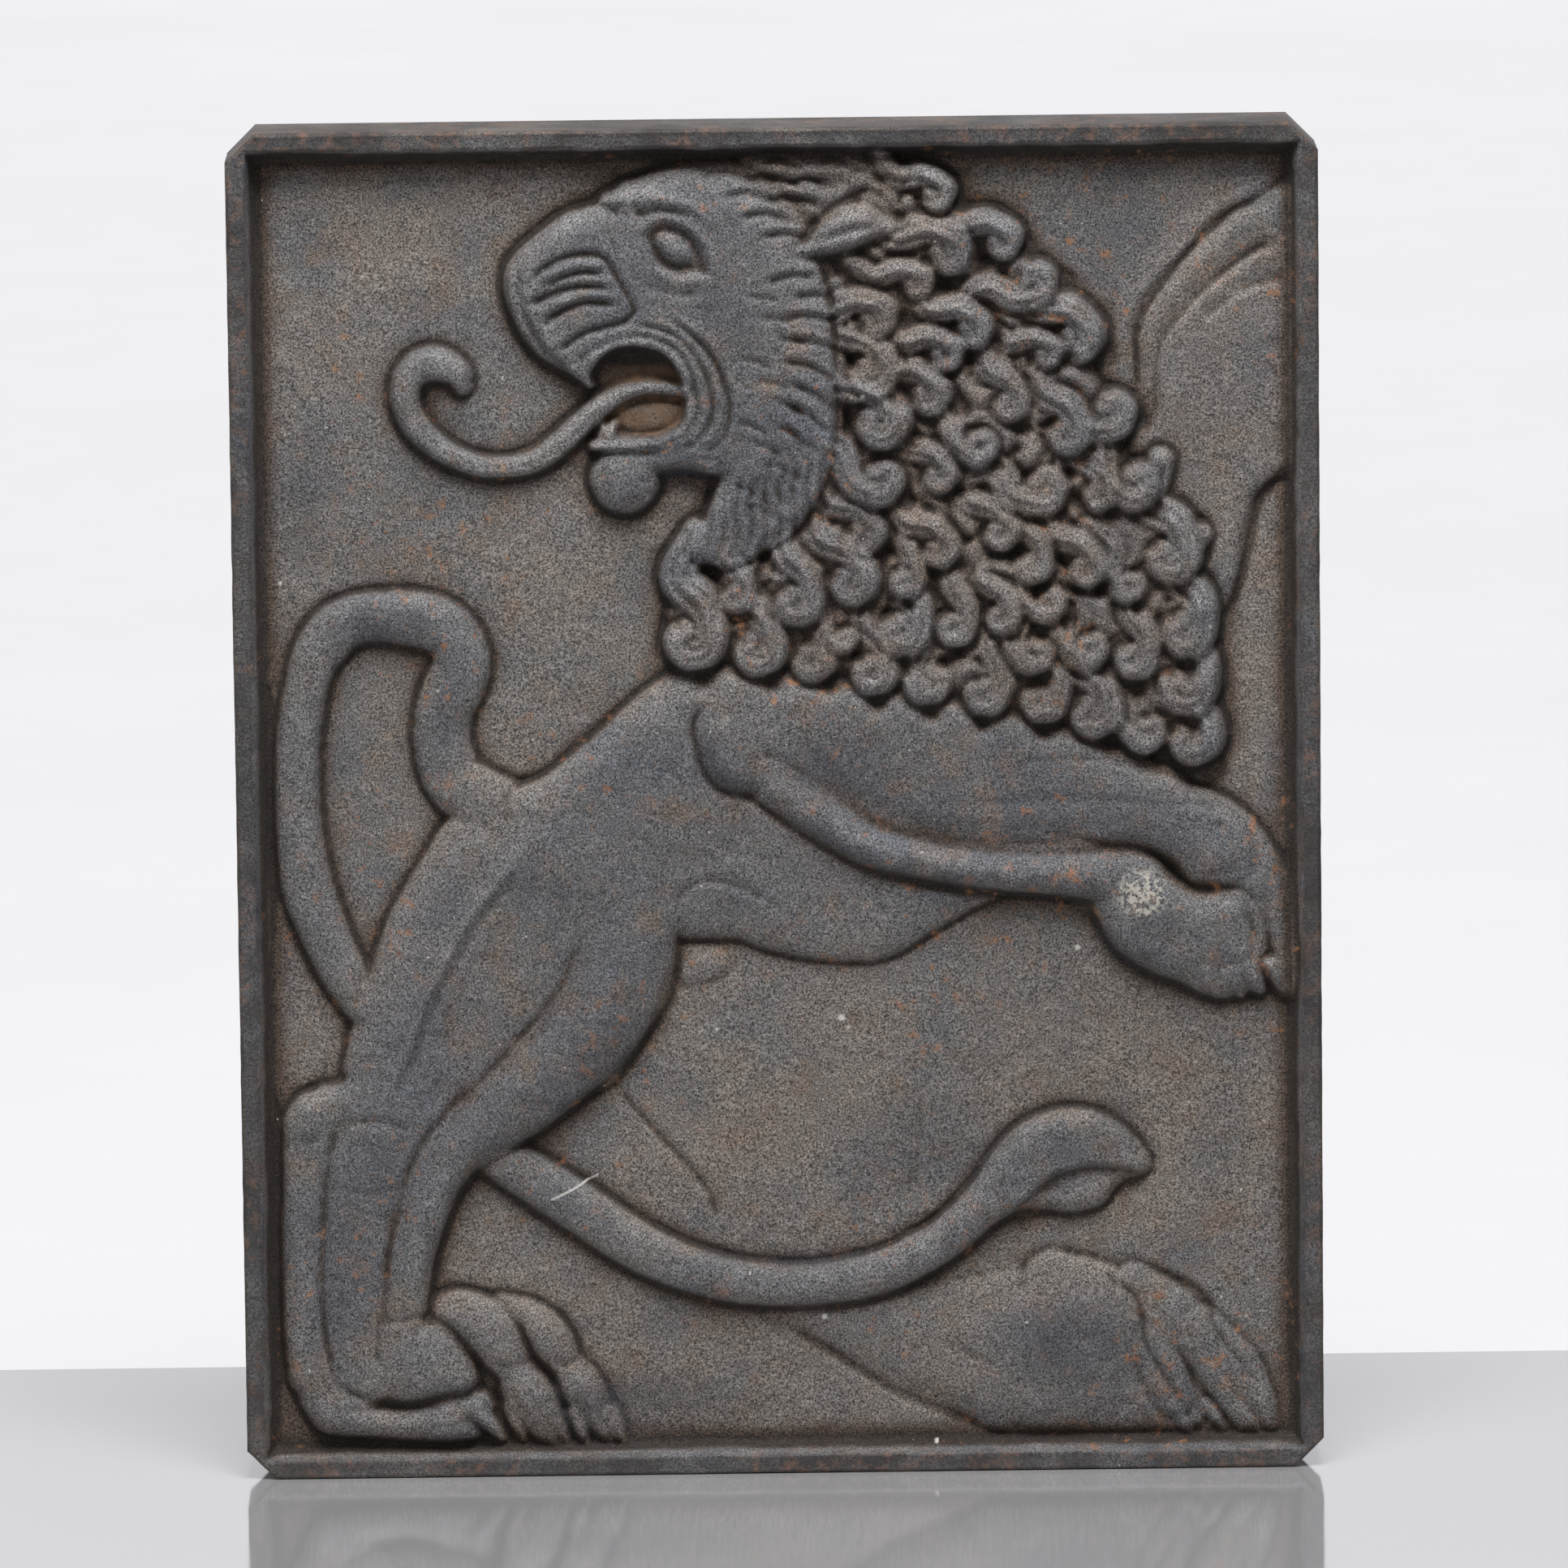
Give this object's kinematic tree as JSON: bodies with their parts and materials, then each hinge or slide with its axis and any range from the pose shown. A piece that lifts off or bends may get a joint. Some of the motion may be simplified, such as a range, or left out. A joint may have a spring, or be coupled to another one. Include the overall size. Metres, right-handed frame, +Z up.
{
  "type": "cast iron relief plaque",
  "caption": "Upright cast iron wall plaque with a raised rim and a rampant lion in relief, hollow at the back, hung from a wire ring on a screwed strap.",
  "frame": {"origin": "middle of the plaque's width on the plane of its foot, halfway through its depth", "axes": "+X to the right seen from the front, +Y from the front to the back, +Z up"},
  "size_m": [0.32, 0.0271, 0.402],
  "materials": {
    "iron": "blackened and worn, with brown rust in the recesses",
    "strap_steel": "dull zinc",
    "ring_steel": "dull zinc",
    "screw_steel": "dull zinc"
  },
  "bodies": {
    "plaque": {"plaque_casting": "iron", "hanger_saddle": "strap_steel", "saddle_screws": "screw_steel"},
    "ring": {"hanging_ring": "ring_steel"}
  },
  "joints": [
    {"name": "ring_swing", "type": "hinge", "parent": "plaque", "child": "ring", "pos_m": [0, 0.0091, 0.344], "axis": [1, 0, 0], "range_deg": [0, 170]}
  ]
}
